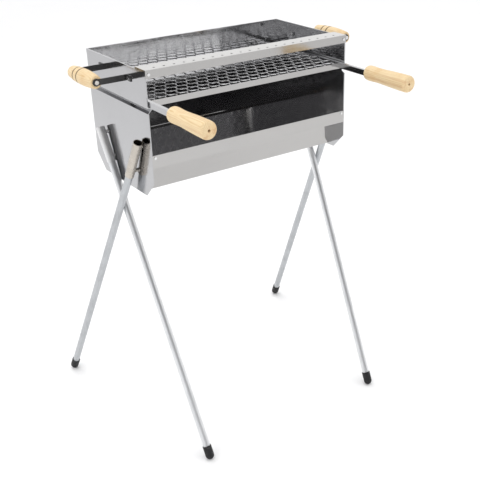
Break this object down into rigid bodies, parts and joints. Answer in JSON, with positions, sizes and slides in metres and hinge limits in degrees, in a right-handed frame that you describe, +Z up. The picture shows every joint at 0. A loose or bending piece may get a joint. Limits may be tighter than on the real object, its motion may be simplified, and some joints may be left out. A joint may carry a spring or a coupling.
{
  "type": "portable charcoal grill",
  "caption": "Folded-sheet charcoal grill on crossed plug-in legs, with a pull-out mesh grate, wooden grate grips and wooden carry handles at the ends.",
  "frame": {"origin": "on the floor under the middle of the whole object's bounding box", "axes": "+Z up, +X to the right seen from the front, -Y to the front, where the grate pulls out"},
  "size_m": [0.6706, 0.6152, 0.854],
  "materials": {
    "polished_sheet": "polished",
    "nickel_tube": "bright",
    "leg_tube": "galvanised",
    "grate_steel": "galvanised",
    "black_strap": "satin",
    "fasteners": "zinc plated",
    "pine": "sanded",
    "rubber": "matte"
  },
  "bodies": {
    "firebox": {"left_end_panel": "polished_sheet", "right_end_panel": "polished_sheet", "back_panel": "polished_sheet", "trough": "polished_sheet", "front_top_rail": "polished_sheet", "rear_corner_tabs": "polished_sheet", "sheet_rivets": "fasteners", "front_left_socket": "nickel_tube", "back_left_socket": "nickel_tube", "front_right_socket": "nickel_tube", "back_right_socket": "nickel_tube", "left_front_strap": "black_strap", "left_back_strap": "black_strap", "right_front_strap": "black_strap", "right_back_strap": "black_strap", "strap_bolts": "fasteners", "strap_nuts": "fasteners", "left_carry_grip": "pine", "right_carry_grip": "pine", "grip_screws": "fasteners"},
    "grate": {"grate_mesh": "grate_steel", "grate_front_rail": "polished_sheet", "grate_back_rail": "polished_sheet", "grate_left_rail": "polished_sheet", "grate_right_rail": "polished_sheet", "left_handle_tang": "fasteners", "right_handle_tang": "fasteners", "handle_ferrules": "fasteners", "left_grate_grip": "pine", "right_grate_grip": "pine"},
    "left_outer_leg_assembly": {"left_outer_leg": "leg_tube", "left_outer_foot": "rubber"},
    "left_inner_leg_assembly": {"left_inner_leg": "leg_tube", "left_inner_foot": "rubber"},
    "right_outer_leg_assembly": {"right_outer_leg": "leg_tube", "right_outer_foot": "rubber"},
    "right_inner_leg_assembly": {"right_inner_leg": "leg_tube", "right_inner_foot": "rubber"}
  },
  "joints": [
    {"name": "grate_slide", "type": "slide", "parent": "firebox", "child": "grate", "axis": [0, -1, 0], "range_m": [0, 0.27]},
    {"name": "left_outer_leg_slide", "type": "slide", "parent": "firebox", "child": "left_outer_leg_assembly", "axis": [-0.0609, 0.4567, -0.8875], "range_m": [0, 0.05]},
    {"name": "left_inner_leg_slide", "type": "slide", "parent": "firebox", "child": "left_inner_leg_assembly", "axis": [0.0358, -0.4404, -0.8971], "range_m": [0, 0.044]},
    {"name": "right_outer_leg_slide", "type": "slide", "parent": "firebox", "child": "right_outer_leg_assembly", "axis": [0.0609, 0.4567, -0.8875], "range_m": [0, 0.05]},
    {"name": "right_inner_leg_slide", "type": "slide", "parent": "firebox", "child": "right_inner_leg_assembly", "axis": [-0.0358, -0.4404, -0.8971], "range_m": [0, 0.044]}
  ]
}
